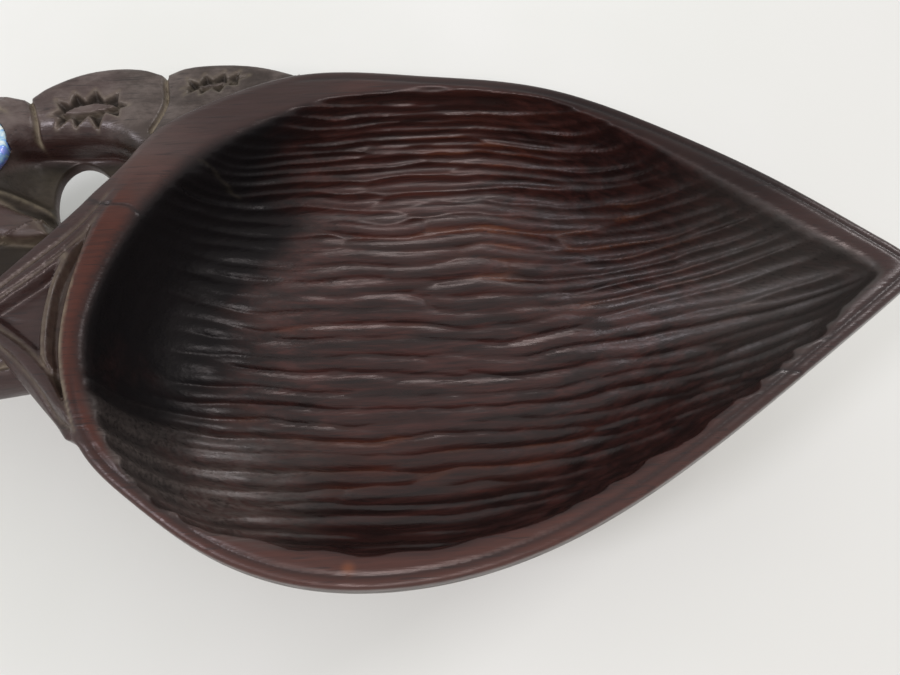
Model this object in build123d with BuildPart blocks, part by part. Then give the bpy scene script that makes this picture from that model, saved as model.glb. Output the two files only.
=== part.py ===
from build123d import *
import os

os.makedirs("parts", exist_ok=True)

# A leaf-shaped bowl and its openwork bird-head handle, carved from one block of wood,
# with a shell eye ring and a wooden pupil peg let into the head.
# Millimetres. +X runs along the bowl to its pointed tip, +Y to the crested side of the
# handle, +Z up. The origin is the middle of the flat foot.

# ---- driving dimensions -----------------------------------------------------------
rim_height = 42.0
back_x = -68.3            # rounded end of the bowl, at the handle
tip_x = 83.6              # pointed end of the bowl
inner_back_x = -63.6
inner_tip_x = 76.4
half_width = 49.0         # of the rim, at its widest

handle_under = 25.0       # underside of the handle plate
handle_top = 38.0         # top of the lobes and of the head
panel_top = 41.0          # top of the V-shaped panel behind the bowl
beak_top = 34.0           # the beak is carved lower than the head

eye_x = -94.9
eye_y = 40.5
shell_radius = 8.0
shell_thickness = 2.2
pupil_radius = 2.8
pupil_length = 6.0
pupil_proud = 0.5         # the peg stands this far above the shell

panel_foot_inset = 7.0    # the panel's sides lean in this much towards its underside
hollow_floor = 30.0       # dished hollow that leads into the crest hole
lip_top = 34.0            # almond-shaped lip at the end of the mouth

groove_depth = 1.4
groove_width = 1.3
bead_inset = 1.8          # incised line that marks off the bead along the rim's outer edge
bead_width = 0.6
bead_depth = 0.6
lens_groove_width = 1.5
lens_depth = 1.2
chevron_width = 1.0
chevron_depth = 1.2
triangle_depth = 2.6
crescent_depth = 2.0

# The rim seen from above, from the back of the bowl round to the tip: outer edge and
# inner edge of the +Y side and of the -Y side.
outer_far = [
    (-66.6, 14), (-61.8, 30), (-51, 42.3), (-28.7, 50.9), (-3.6, 49.3), (20.2, 44.9), (42.5, 33.8),
    (62.8, 19.9), (78.2, 6.9),
]
outer_near = [
    (-66.5, -13), (-61.7, -24.4), (-46, -38), (-29.3, -46.2), (-12, -48.2), (11.3, -44), (37.8, -31.2),
    (61.4, -16), (77.5, -5.3),
]
inner_far = [
    (-60.5, 11.5), (-54.2, 23), (-42.8, 34.4), (-27.6, 42.3), (-3.7, 45.9), (18, 42.6), (41.6, 28.5),
    (62, 12.4),
]
inner_near = [
    (-61.4, -13.5), (-55.2, -26.3), (-44.4, -36.8), (-28, -42.2), (-8, -44.2), (13, -39.6), (38.6, -27.2),
    (62.6, -11.2),
]

# Horizontal sections: height, back end, tip end and width against the rim's own.
hull_levels = [
    (0.0, -40.0, 40.5, 0.47),
    (5.0, -48.5, 53.5, 0.65),
    (14.0, -58.5, 67.0, 0.835),
    (26.0, -66.0, 78.5, 0.96),
    (36.0, -69.0, 84.0, 1.02),
    (rim_height, back_x, tip_x, 1.00),
]
cavity_levels = [
    (8.0, -26.0, 18.0, 0.30),
    (10.0, -39.0, 31.0, 0.53),
    (15.0, -50.0, 45.0, 0.73),
    (24.0, -58.5, 59.5, 0.87),
    (34.0, -62.6, 71.0, 0.96),
    (rim_height + 0.5, inner_back_x, inner_tip_x, 1.00),
]


def leaf_side(points, rim_back, rim_tip, back, tip, width):
    """One side of a section: the rim's side, stretched between this level's two ends."""
    stretch = (tip - back) / (rim_tip - rim_back)
    side = [(back + (x - rim_back) * stretch, y * width) for x, y in points]
    return [(back, 0)] + side + [(tip, 0)]


# ---- the wooden body: bowl and handle, one block -----------------------------------
with BuildPart() as carved_body:
    # outside of the bowl, from the leaf-shaped foot up to the rim
    for level, back, tip, width in hull_levels:
        with BuildSketch(Plane.XY.offset(level)):
            with BuildLine():
                Spline(*leaf_side(outer_far, back_x, tip_x, back, tip, width))
                Spline(*leaf_side(outer_near, back_x, tip_x, back, tip, width))
            make_face()
    loft()

    # handle plate: three crest lobes, the brow, and the beak's root on the -Y side
    with BuildSketch(Plane.XY.offset(handle_under)):
        with BuildLine():
            ThreePointArc((-26, 50), (-43, 58), (-56.6, 55.5))
            ThreePointArc((-56.6, 55.5), (-69, 58.2), (-84, 51))
            ThreePointArc((-84, 51), (-98, 53.5), (-111, 46))
            ThreePointArc((-111, 46), (-120, 38), (-122, 27))
            Line((-122, 27), (-104, 25))
            ThreePointArc((-104, 25), (-97, 19), (-92, 10))
            Polyline((-92, 10), (-86, 4), (-50, 0), (-26, 50))
        make_face()
    extrude(amount=handle_top - handle_under)

    # beak: leaves the brow, curls round the end and comes back to the V-panel
    with BuildSketch(Plane.XY.offset(handle_under)):
        with BuildLine():
            Spline((-122, 27), (-125.5, 12), (-119, -3), (-105, -10.8), (-80, -10),
                   tangents=((-0.2, -1), (1, 0.1)))
            Polyline((-80, -10), (-70, -6), (-86, 2), (-91, 1))
            Spline((-91, 1), (-102, 0.5), (-111, 7), (-112, 18), (-104, 25))
            Line((-104, 25), (-122, 27))
        make_face()
    extrude(amount=beak_top - handle_under)

    # V-shaped panel behind the bowl, its sides leaning in towards the underside
    for level, inset in ((handle_under, panel_foot_inset), (panel_top, 0)):
        with BuildSketch(Plane.XY.offset(level)):
            with BuildLine():
                Polyline(
                    (-62 + inset, 31 - inset / 2),
                    (-89, 3.5),
                    (-64.5 + inset, -22.5 + inset / 2),
                    (-45, 0),
                    close=True,
                )
            make_face()
    loft(ruled=True)

    # dished hollow between the crest, the eye and the panel, with the lip beside it
    with BuildSketch(Plane.XY.offset(hollow_floor)):
        with BuildLine():
            ThreePointArc((-63.4, 39.6), (-72.5, 43.4), (-80.8, 43.4))
            ThreePointArc((-80.8, 43.4), (-86, 39), (-88.6, 33.2))
            Polyline((-88.6, 33.2), (-98, 31.5), (-99, 24), (-78, 13), (-63.9, 29.3), (-63.4, 39.6))
        make_face()
        with BuildLine():
            Polyline((-62, 31), (-89, 3.5), (-60, 0), (-62, 31))
        make_face(mode=Mode.SUBTRACT)
    extrude(amount=rim_height, mode=Mode.SUBTRACT)
    with BuildSketch(Plane.XY.offset(hollow_floor)):
        with BuildLine():
            ThreePointArc((-80.5, 24.5), (-89, 31), (-99, 30.5))
            Line((-99, 30.5), (-99, 26))
            ThreePointArc((-99, 26), (-90, 26.5), (-80.5, 24.5))
        make_face()
    extrude(amount=lip_top - hollow_floor)

    # hole pierced between the crest and the panel
    with BuildSketch(Plane.XY.offset(handle_under)):
        with BuildLine():
            Spline((-81.9, 35.5), (-79.5, 41.8), (-73.4, 42), (-67.5, 37.5), (-66.3, 30), (-74, 21.3),
                   (-80, 27), periodic=True)
        make_face()
    extrude(amount=rim_height, both=True, mode=Mode.SUBTRACT)

    # inside of the bowl
    for level, back, tip, width in cavity_levels:
        with BuildSketch(Plane.XY.offset(level)):
            with BuildLine():
                Spline(*leaf_side(inner_far, inner_back_x, inner_tip_x, back, tip, width))
                Spline(*leaf_side(inner_near, inner_back_x, inner_tip_x, back, tip, width))
            make_face()
    loft(mode=Mode.SUBTRACT)

    # incised line along the rim
    with BuildSketch(Plane.XY.offset(rim_height)):
        with BuildLine():
            bead_ends = (back_x + bead_inset, tip_x - 1.5 * bead_inset)
            bead_scale = 1 - bead_inset / half_width
            Spline(*leaf_side(outer_far, back_x, tip_x, *bead_ends, bead_scale))
            Spline(*leaf_side(outer_near, back_x, tip_x, *bead_ends, bead_scale))
        trace(line_width=bead_width)
    extrude(amount=-bead_depth, mode=Mode.SUBTRACT)

    # cuts between the lobes
    with BuildSketch(Plane.XY.offset(handle_top)):
        with BuildLine():
            Spline((-56.3, 56), (-56, 50), (-58.4, 42.6))
            Spline((-84.4, 52), (-82.6, 46.5), (-82.6, 42.5))
            Spline((-111.6, 47), (-108, 42), (-106.5, 35))
        trace(line_width=groove_width)
    extrude(amount=-groove_depth, mode=Mode.SUBTRACT)

    # pointed lens outlines cut into two lobes
    with BuildSketch(Plane.XY.offset(handle_top)):
        with BuildLine():
            ThreePointArc((-78, 47.5), (-71.5, 51.3), (-64.8, 49.5))
            ThreePointArc((-64.8, 49.5), (-70.5, 45.6), (-78, 47.5))
            ThreePointArc((-52.5, 52.2), (-46.5, 55.2), (-40.2, 54.6))
            ThreePointArc((-40.2, 54.6), (-46, 51.6), (-52.5, 52.2))
        trace(line_width=lens_groove_width)
    extrude(amount=-lens_depth, mode=Mode.SUBTRACT)

    # V-panel: sunk triangle, crescent beside the rim, and a cut along each arm
    with BuildSketch(Plane.XY.offset(panel_top)):
        with BuildLine():
            ThreePointArc((-70, 12.5), (-71.3, 1.8), (-70.3, -8.5))
            Polyline((-70.3, -8.5), (-82.5, 2.5), (-70, 12.5))
        make_face()
    extrude(amount=-triangle_depth, mode=Mode.SUBTRACT)
    with BuildSketch(Plane.XY.offset(panel_top)):
        with BuildLine():
            ThreePointArc((-63.8, 21), (-70.3, 1.8), (-65.6, -16.5))
            ThreePointArc((-65.6, -16.5), (-68.1, 1.8), (-63.8, 21))
        make_face()
    extrude(amount=-crescent_depth, mode=Mode.SUBTRACT)
    with BuildSketch(Plane.XY.offset(panel_top)):
        with BuildLine():
            Polyline((-65, 23.5), (-69.1, 18.8), (-84, 5.6))
            Polyline((-67, -16.8), (-71.5, -10.8), (-84, 1))
        trace(line_width=chevron_width)
    extrude(amount=-chevron_depth, mode=Mode.SUBTRACT)

    # seat for the shell ring, and the hole for the pupil peg
    with Locations((eye_x, eye_y, handle_top)):
        CounterBoreHole(pupil_radius, shell_radius, shell_thickness, pupil_length - pupil_proud)
carved_body.part.label = "carved_body"
export_step(carved_body.part, "parts/carved_body.step")

# ---- shell ring of the eye ---------------------------------------------------------
with BuildPart() as eye_shell:
    with BuildSketch(Plane.XY.offset(handle_top - shell_thickness)):
        with Locations((eye_x, eye_y)):
            Circle(shell_radius)
            Circle(pupil_radius, mode=Mode.SUBTRACT)
    extrude(amount=shell_thickness)
eye_shell.part.label = "eye_shell"
export_step(eye_shell.part, "parts/eye_shell.step")

# ---- pupil peg, glued through the ring into the head --------------------------------
with BuildPart() as eye_pupil:
    with BuildSketch(Plane.XY.offset(handle_top + pupil_proud - pupil_length)):
        with Locations((eye_x, eye_y)):
            Circle(pupil_radius)
    extrude(amount=pupil_length)
    fillet(eye_pupil.edges().group_by(Axis.Z)[-1], pupil_proud * 0.8)
eye_pupil.part.label = "eye_pupil"
export_step(eye_pupil.part, "parts/eye_pupil.step")
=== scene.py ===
"""Looks of a leaf-shaped carved bowl with a bird-head handle, built round its CAD frame.

The wooden body is carved here in numpy: a field that is negative inside the wood is put together
from the bowl, the handle and every cut, and one closed mesh is wrapped round it.
Lengths in the carving part are millimetres; Blender objects, materials and the studio are in metres.
"""
import math
import bpy
import numpy as np
from mathutils import Matrix, Vector


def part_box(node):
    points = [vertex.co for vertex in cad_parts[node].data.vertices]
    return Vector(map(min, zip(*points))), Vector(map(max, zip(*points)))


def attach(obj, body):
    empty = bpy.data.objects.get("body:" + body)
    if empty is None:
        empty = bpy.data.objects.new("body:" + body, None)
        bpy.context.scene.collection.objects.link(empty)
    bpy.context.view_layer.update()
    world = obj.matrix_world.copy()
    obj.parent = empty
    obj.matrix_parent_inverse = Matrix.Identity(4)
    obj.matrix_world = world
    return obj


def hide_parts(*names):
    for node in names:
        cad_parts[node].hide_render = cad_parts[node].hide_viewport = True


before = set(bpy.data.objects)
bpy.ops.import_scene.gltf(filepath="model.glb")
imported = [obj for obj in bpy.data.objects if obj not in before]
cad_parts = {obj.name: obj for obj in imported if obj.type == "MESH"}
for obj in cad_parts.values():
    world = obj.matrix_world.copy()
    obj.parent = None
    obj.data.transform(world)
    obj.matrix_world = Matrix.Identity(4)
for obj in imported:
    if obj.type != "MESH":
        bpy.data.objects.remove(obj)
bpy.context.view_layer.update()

MM = 0.001
BODY_LOW, BODY_HIGH = (np.array(c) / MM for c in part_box("carved_body"))
SHELL_LOW, SHELL_HIGH = (np.array(c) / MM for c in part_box("eye_shell"))
PUPIL_LOW, PUPIL_HIGH = (np.array(c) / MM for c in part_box("eye_pupil"))

# ---- sizes, mm ----
VOXEL = 0.36
MARGIN = np.array([5.0, 3.0, 1.5])  # empty space round the wood in the carving grid

RIM_Z = BODY_HIGH[2]
EYE = (SHELL_LOW[:2] + SHELL_HIGH[:2]) / 2
EYE_RADIUS = (SHELL_HIGH[0] - SHELL_LOW[0]) / 2
PUPIL_RADIUS = (PUPIL_HIGH[0] - PUPIL_LOW[0]) / 2
SHELL_GAP = 0.05  # drawn round the shell ring, so that no faces lie on each other
PEG_GAP = 0.03  # the same, on both sides of the peg's wall
LOBE_Z = SHELL_HIGH[2]
HOLLOW_Z = 30.8
LIP_Z = 33.6
UNDER_Z = 25.0  # underside of the handle
UNDER_ROUNDING = 3.0
BOWL_CENTRE = (-8.0, 0.0)  # the bowl's sections shrink towards this point
CAVITY_FLOOR = 8.0

# The rim from above: outer edge and inner edge, each once round from the tip over the +Y side.
OUTER_RIM = [(83.6, 0), (81.6, 3.8), (78.2, 6.9), (72.3, 12), (62.8, 19.9), (42.5, 33.8), (20.2, 44.9),
             (-3.6, 49.3), (-28.7, 50.9), (-45.4, 45.3), (-56, 38.5), (-62.4, 28), (-66.6, 14),
             (-68.3, 0), (-66.7, -12.5), (-62, -24), (-53.2, -32.6), (-43.2, -40), (-29.3, -46.2),
             (-12, -48.2), (11.3, -44), (37.8, -31.2), (61.4, -16), (76.5, -5.8), (81.8, -2)]
INNER_RIM = [(76.4, 0.4), (73.5, 3.4), (62, 12.4), (41.6, 28.5), (18, 42.6), (-3.7, 45.9),
             (-27.6, 42.3), (-42.8, 34.4), (-54.5, 22.5), (-62, 7), (-63.6, -4.5), (-61.2, -14.8),
             (-55, -27), (-45, -35.8), (-29.4, -41), (-8, -43.2), (13, -38.9), (38.6, -26.8),
             (62.6, -11.2), (73.5, -2.6)]
BEAD_INSET = 1.7  # incised line that marks off a bead along the outer edge

# Width of the hull, as a share of the rim's, at each height.
HULL_LEVELS = [0, 2, 5, 9, 14, 20, 26, 31, 35, 38, 42]
HULL_WIDTHS = [0.46, 0.545, 0.645, 0.745, 0.835, 0.905, 0.96, 0.995, 1.008, 1.012, 1.003]

# Handle from above. Each lobe's edge is a curve of its own, so that they meet in sharp notches.
LOBE_A = [(-20, 49.6), (-29.5, 54.2), (-36.9, 56.9), (-45.3, 58), (-53, 57.4), (-56.7, 56.2)]
LOBE_B = [(-56.7, 56.2), (-61.8, 57.8), (-68, 58.2), (-74.2, 57.1), (-80, 54.4), (-84.4, 51.6)]
HEAD = [(-84.4, 51.6), (-89, 52.5), (-97, 52.9), (-105, 50.5), (-112, 45), (-117, 37)]
JAW = [(-117, 37), (-110, 27), (-103.5, 24.5), (-98, 20), (-94.5, 13), (-91.5, 7.5), (-87, 3)]
PLATE_UNDER_BOWL = [(-87, 3), (-60, 0), (-20, 0)]
PLATE_END = [(-20, 0), (-20, 49.6)]
GROOVE_AB = [(-56.7, 57), (-56.4, 53.4), (-56, 50), (-56.5, 47.3), (-58.6, 42.4)]
GROOVE_BC = [(-84.6, 52.4), (-83, 49), (-82.4, 46), (-82.6, 43.4)]
EYE_RINGS = [(2.6, 1.4, 0.9), (4.8, 1.2, 0.7)]  # distance from the shell, width and depth of a ring cut

# The dished hollow, the hole through it, the line that the crest's rolled edge follows, and the
# ridge, the dusty crease and the lip in the hollow.
HOLLOW = [(-61.6, 38.2), (-64.2, 39.8), (-68.4, 42), (-73, 42.9), (-79, 43.2), (-85, 41.8), (-91, 35),
          (-97, 30), (-100, 25), (-97, 18), (-92, 10), (-84, 6), (-60, 20)]
CREST_HOLE = [(-81.3, 35.2), (-80.3, 39.8), (-77, 42.3), (-73.2, 41.2), (-69.5, 37.6), (-66.8, 33),
              (-67.2, 28), (-72.5, 22.8), (-77, 24.2), (-80.3, 29)]
BAND = [(-58, 42), (-66, 42), (-74, 43.5), (-83, 43)]
HOLLOW_RIDGE = [(-79.5, 28.6), (-83.8, 31), (-89.2, 31.5), (-96, 29.5)]
HOLLOW_CREASE = [(-75.5, 21.5), (-78.5, 22.6), (-81.5, 26.4)]
LIP_UPPER = [(-78.6, 22.3), (-80.3, 25.3), (-84.5, 27.4), (-89, 29.7), (-94.5, 30), (-98.5, 27.6)]
LIP_LOWER = [(-98.5, 27.6), (-94, 23.8), (-88, 22.4), (-83.7, 21.8), (-78.6, 22.3)]

# Chip-cut almond on two lobes: the two sides of its island, and the outline of the nicks round it.
LENS_B = ([(-77.6, 47.7), (-74.5, 49.4), (-70.5, 50.1), (-67, 49.7), (-65.2, 49)],
          [(-65.2, 49), (-68, 48), (-71, 47.5), (-74.5, 47.2), (-77.6, 47.7)])
LENS_B_CUT = [(-79.8, 47.4), (-77.4, 48.6), (-78.6, 51.2), (-75.6, 50), (-75, 53), (-72.4, 50.8),
              (-70.6, 53.4), (-68.6, 50.6), (-65.6, 52.6), (-65.6, 49.9), (-63, 48.8), (-65.2, 48),
              (-65, 46), (-68, 47.3), (-69.8, 44), (-71.4, 46.9), (-74.4, 44.8), (-75, 46.7),
              (-78.4, 44.8), (-77.6, 47)]
LENS_A = ([(-51.2, 52.6), (-48, 53.6), (-44.5, 54.1), (-41.4, 54.6)],
          [(-41.4, 54.6), (-44.5, 53), (-48, 52.3), (-51.2, 52.6)])
LENS_A_CUT = [(-53.2, 52.2), (-51.4, 53), (-52, 55), (-49.4, 53.8), (-48.2, 56), (-46.6, 54.4),
              (-44.2, 56.4), (-43.6, 54.7), (-40.8, 56.4), (-41.2, 54.9), (-38.8, 54.9), (-41.2, 54),
              (-41.4, 52.4), (-43.9, 52.8), (-45, 50.8), (-46.8, 52), (-49.2, 50.4), (-49.4, 52),
              (-52.4, 50.4), (-51.6, 52)]

# The V-panel: its outline, the crescent beside the rim, the sunk triangle and the arms' grooves.
PANEL = [(-58, 34), (-63.3, 28.7), (-68.5, 22.7), (-73.8, 17.3), (-80.6, 10.8), (-87.5, 4), (-87.3, 1),
         (-82.5, -3), (-77.8, -8.3), (-73.8, -12.7), (-70.2, -16.6), (-65.4, -21.8), (-61, -23.5),
         (-48, -18), (-48, 20)]
PANEL_ARC_OUT = [(-61.4, 24.2), (-64.5, 17), (-66.9, 9), (-68.1, 1), (-68, -6), (-66.5, -12.5),
                 (-63.4, -20.6)]
PANEL_ARC_IN = [(-63.4, -20.6), (-68.5, -12.5), (-70.6, -7), (-71.4, 0), (-71, 7), (-69, 13.3),
                (-61.4, 24.2)]
TRIANGLE_ARC = [(-69.8, 12.6), (-71.2, 8), (-71.9, 2), (-71.7, -3.5), (-70.9, -8.2)]
TRIANGLE_APEX = (-83.5, 2.4)
UPPER_GROOVES = [[(-62.6, 25.7), (-69.1, 17.6), (-75, 12.6), (-84.6, 4.8)],
                 [(-62, 24.4), (-66.9, 17.1), (-72, 12), (-84, 3.4)]]
LOWER_GROOVES = [[(-63.2, -20.9), (-65.7, -15.5), (-70.3, -9.1), (-74.5, -4.9), (-84, 2)],
                 [(-63.2, -20.9), (-67.1, -18.2), (-70.6, -13.4), (-74.3, -9.1), (-84.5, 0.5)]]
GROOVE_SIZES = [(1.2, 0.7), (1.3, 0.9), (1.5, 1.0), (1.2, 0.7)]  # width and depth of the four grooves

# The beak: the line along its middle, and its half width at even steps along it.
BEAK_LINE = [(-104, 42), (-114, 37), (-119, 27), (-119.5, 14), (-114, 2), (-104, -4.2), (-92, -5.2),
             (-78, -4)]
BEAK_WIDTHS = [11, 10, 8.2, 7.2, 6.4, 5.8, 5.5, 5.2]
BEAK_MID_Z = 30.0
BEAK_HALF_HEIGHT = 5.6

# Two cracks, and a scratch inside the bowl.
CRACK = [(-67.6, 24.4), (-64.1, 22.8), (-61.1, 22.3), (-59.2, 21.9), (-56.9, 20.2), (-51.9, 16.1)]
RIM_CRACK = [(51.4, -16.4), (53, -17.1), (57.6, -18.1)]
SCRATCH = [(-46.9, 31.9), (-43.6, 32.0), (-40.5, 32.3)]

FLUTE_PITCH = 3.75
FLUTE_RADIUS = 3.3  # of the gouge's edge
FLUTE_DEPTH = 0.75
FLUTE_SEED = 11
SMOOTH_FLUTE = 0.6  # mark of wood between a ridge and a hollow
TABLE_LOW, TABLE_HIGH = -76, 96  # the gouge table covers this much, along and across
TABLE_STEP = 0.25
MORE_ROWS = 6  # on the +Y wall, which is the longer one

FAR = 1e3  # stands for any distance that isn't worked out
GAUGE_TURNS = 1440  # directions in which an outline's radius is tabled
LEAST_SLOPE = 0.05
NUDGE = 0.25  # cells, how far the slope is probed, and the longest step to the surface

# ---- colours, linear ----
NEAR_BLACK = (0.0078, 0.0072, 0.0078, 1)
INNER_DARK = (0.010, 0.0045, 0.0042, 1)
INNER_BROWN = (0.048, 0.0150, 0.0125, 1)
INNER_RED = (0.085, 0.020, 0.010, 1)
AMBER = (0.17, 0.052, 0.018, 1)
OUTER_PURPLE = (0.034, 0.017, 0.016, 1)
OUTER_BROWN = (0.027, 0.012, 0.010, 1)
OUTER_RED = (0.085, 0.022, 0.013, 1)
DUST = (0.24, 0.20, 0.14, 1)
HULL_OLIVE = (0.018, 0.013, 0.009, 1)
WORN = (0.21, 0.17, 0.155, 1)
NICK_SHADE_AND_HOLLOW_OLIVE = (0.016, 0.0145, 0.0105, 1)
TIP_DUST_AND_SHEEN = (0.040, 0.036, 0.033, 1)
SHEEN = (1.0, 0.91, 0.91, 1)
FLOOR_PALE = (0.725, 0.73, 0.705, 1)
FLOOR_PALER = (0.755, 0.755, 0.74, 1)
FLOOR_SHADE = (0.655, 0.65, 0.63, 1)
SHELL_BANDS = [(0.28, (0.76, 0.80, 0.76, 1)), (0.40, (0.30, 0.50, 0.66, 1)), (0.48, (0.16, 0.30, 0.80, 1)),
               (0.56, (0.34, 0.38, 0.88, 1)), (0.64, (0.62, 0.42, 0.72, 1)), (0.76, (0.78, 0.80, 0.84, 1))]

# ---- studio, metres ----
FLOOR_HALF = 3.0
ROOM_COLOUR = (0.99, 1, 0.985, 1)
ROOM_STRENGTH = 0.71
LAMPS = [  # name, place, what it points at, size, power and colour
    ("window", (1.45, 0.80, 1.42), (0, 0, 0), (0.6, 0.17), 11.5, (1, 1, 1)),
    ("side_window", (-1.25, -0.42, 1.50), (-0.05, 0.02, 0.03), (0.32, 0.26), 8.0, (0.93, 0.93, 1)),
    ("over_shoulder", (-0.10, -1.25, 1.60), (0, 0.02, 0), (0.75, 0.28), 13, (1, 0.91, 0.88)),
]
CAMERA_PLACE = (-0.0041, -0.0554, 0.1577)
CAMERA_TILT = math.radians(22.2)
CAMERA_HEADING = math.radians(3.6)
CAMERA_LENS = 29.12  # mm, on a sensor of this width
CAMERA_SENSOR = 36.0


# ---- small geometry helpers ----
def smoothstep(low, high, x):
    t = np.clip((x - low) / (high - low), 0, 1)
    return t * t * (3 - 2 * t)


def smooth_min(a, b, radius):
    """Union of two fields with a fillet of about this radius."""
    h = np.clip(0.5 + 0.5 * (b - a) / radius, 0, 1)
    return b + (a - b) * h - radius * h * (1 - h)


def smooth_max(a, b, radius):
    return -smooth_min(-a, -b, radius)


def curve(points, step=0.6, closed=False):
    """A smooth line through given points: a natural cubic, or a periodic one."""
    p = np.array(points, float)
    if closed:
        p = np.vstack([p[-3:], p, p[:4]])
    run = np.r_[0, np.cumsum(np.linalg.norm(np.diff(p, axis=0), axis=1))]
    n = len(p)
    gaps = np.diff(run)
    matrix = np.zeros((n, n))
    right = np.zeros((n, p.shape[1]))
    matrix[0, 0] = matrix[-1, -1] = 1
    for i in range(1, n - 1):
        matrix[i, i - 1:i + 2] = gaps[i - 1], 2 * (gaps[i - 1] + gaps[i]), gaps[i]
        right[i] = 6 * ((p[i + 1] - p[i]) / gaps[i] - (p[i] - p[i - 1]) / gaps[i - 1])
    bend = np.linalg.solve(matrix, right)
    first, last = (3, n - 4) if closed else (0, n - 1)
    s = np.linspace(run[first], run[last], max(8, int((run[last] - run[first]) / step)))
    k = np.clip(np.searchsorted(run, s, side="right") - 1, 0, n - 2)
    a = (run[k + 1] - s)[:, None]
    b = (s - run[k])[:, None]
    g = gaps[k][:, None]
    return (bend[k] * a ** 3 + bend[k + 1] * b ** 3) / (6 * g) + (p[k] / g - bend[k] * g / 6) * a \
        + (p[k + 1] / g - bend[k + 1] * g / 6) * b


def line_distance(line, x, y, reach=None):
    """Distance from each (x, y) to a polyline, and how far along it the nearest point is, 0 to 1.
    Points further than `reach` from the line's box get the distance FAR."""
    a = line[:-1]
    seg = line[1:] - a
    size = np.maximum((seg ** 2).sum(1), 1e-12)
    along = np.r_[0, np.cumsum(np.sqrt(size))]
    flat_x, flat_y = x.ravel(), y.ravel()
    picked = np.ones(flat_x.shape, bool)
    if reach is not None:
        low, high = line.min(0) - reach, line.max(0) + reach
        picked = (flat_x > low[0]) & (flat_x < high[0]) & (flat_y > low[1]) & (flat_y < high[1])
    px, py = flat_x[picked], flat_y[picked]
    squared = np.full(px.shape, FAR ** 2)
    place = np.zeros(px.shape)
    for i in range(len(seg)):
        t = np.clip(((px - a[i, 0]) * seg[i, 0] + (py - a[i, 1]) * seg[i, 1]) / size[i], 0, 1)
        d = (px - a[i, 0] - t * seg[i, 0]) ** 2 + (py - a[i, 1] - t * seg[i, 1]) ** 2
        near = d < squared
        squared[near] = d[near]
        place[near] = along[i] + t[near] * math.sqrt(size[i])
    distance = np.full(flat_x.shape, FAR)
    share = np.zeros(flat_x.shape)
    distance[picked] = np.sqrt(squared)
    share[picked] = place / along[-1]
    return distance.reshape(x.shape), share.reshape(x.shape)


def outline_distance(line, x, y):
    """Signed distance to a closed outline, negative inside."""
    loop = np.vstack([line, line[:1]])
    distance, _ = line_distance(loop, x, y)
    inside = np.zeros(x.shape, bool)
    for (x0, y0), (x1, y1) in zip(loop[:-1], loop[1:]):
        if y0 == y1:
            continue
        crosses = ((y0 > y) != (y1 > y)) & (x < (x1 - x0) * (y - y0) / (y1 - y0) + x0)
        inside ^= crosses
    return np.where(inside, -distance, distance)


def gauge(line, x, y, blur=0.0):
    """Distance from the bowl's centre as a share of the outline's in that direction, and the
    outline's own. The outline can be softened over about `blur` degrees."""
    cx, cy = BOWL_CENTRE
    angle = np.arctan2(line[:, 1] - cy, line[:, 0] - cx)
    radius = np.hypot(line[:, 0] - cx, line[:, 1] - cy)
    order = np.argsort(angle)
    turn = np.linspace(-math.pi, math.pi, GAUGE_TURNS + 1)[:-1]
    table = np.interp(turn, angle[order], radius[order], period=2 * math.pi)
    if blur:
        step = np.arange(GAUGE_TURNS)
        degrees = np.minimum(step, GAUGE_TURNS - step) * 360 / GAUGE_TURNS
        spread = np.exp(-0.5 * (degrees / blur) ** 2)
        table = np.fft.ifft(np.fft.fft(table) * np.fft.fft(spread / spread.sum())).real
    reach = np.interp(np.arctan2(y - cy, x - cx), turn, table, period=2 * math.pi)
    return np.hypot(x - cx, y - cy) / reach, reach


def as_distance(field):
    """Turns a field into a near-distance field close to its surface."""
    gx, gy, gz = np.gradient(field, VOXEL)
    return field / np.maximum(np.sqrt(gx * gx + gy * gy + gz * gz), LEAST_SLOPE)


def bilinear(grid, u, v):
    """Value of a 2-D grid at places given in its cells."""
    i = np.clip(np.floor(u).astype(int), 0, grid.shape[0] - 2)
    j = np.clip(np.floor(v).astype(int), 0, grid.shape[1] - 2)
    fu, fv = u - i, v - j
    return (grid[i, j] * (1 - fu) + grid[i + 1, j] * fu) * (1 - fv) \
        + (grid[i, j + 1] * (1 - fu) + grid[i + 1, j + 1] * fu) * fv


# ---- wrapping a mesh round a field ----
CORNERS = np.array([(i, j, k) for i in (0, 1) for j in (0, 1) for k in (0, 1)])
CELL_EDGES = [(a, b) for a in range(8) for b in range(a + 1, 8)
              if np.abs(CORNERS[a] - CORNERS[b]).sum() == 1]


def sample(field, points):
    """Value of the grid at points given in cells."""
    low = np.clip(np.floor(points).astype(int), 0, np.array(field.shape) - 2)
    f = points - low
    total = 0
    for corner in CORNERS:
        share = np.prod(np.where(corner, f, 1 - f), axis=1)
        i, j, k = (low + corner).T
        total = total + share * field[i, j, k]
    return total


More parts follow.
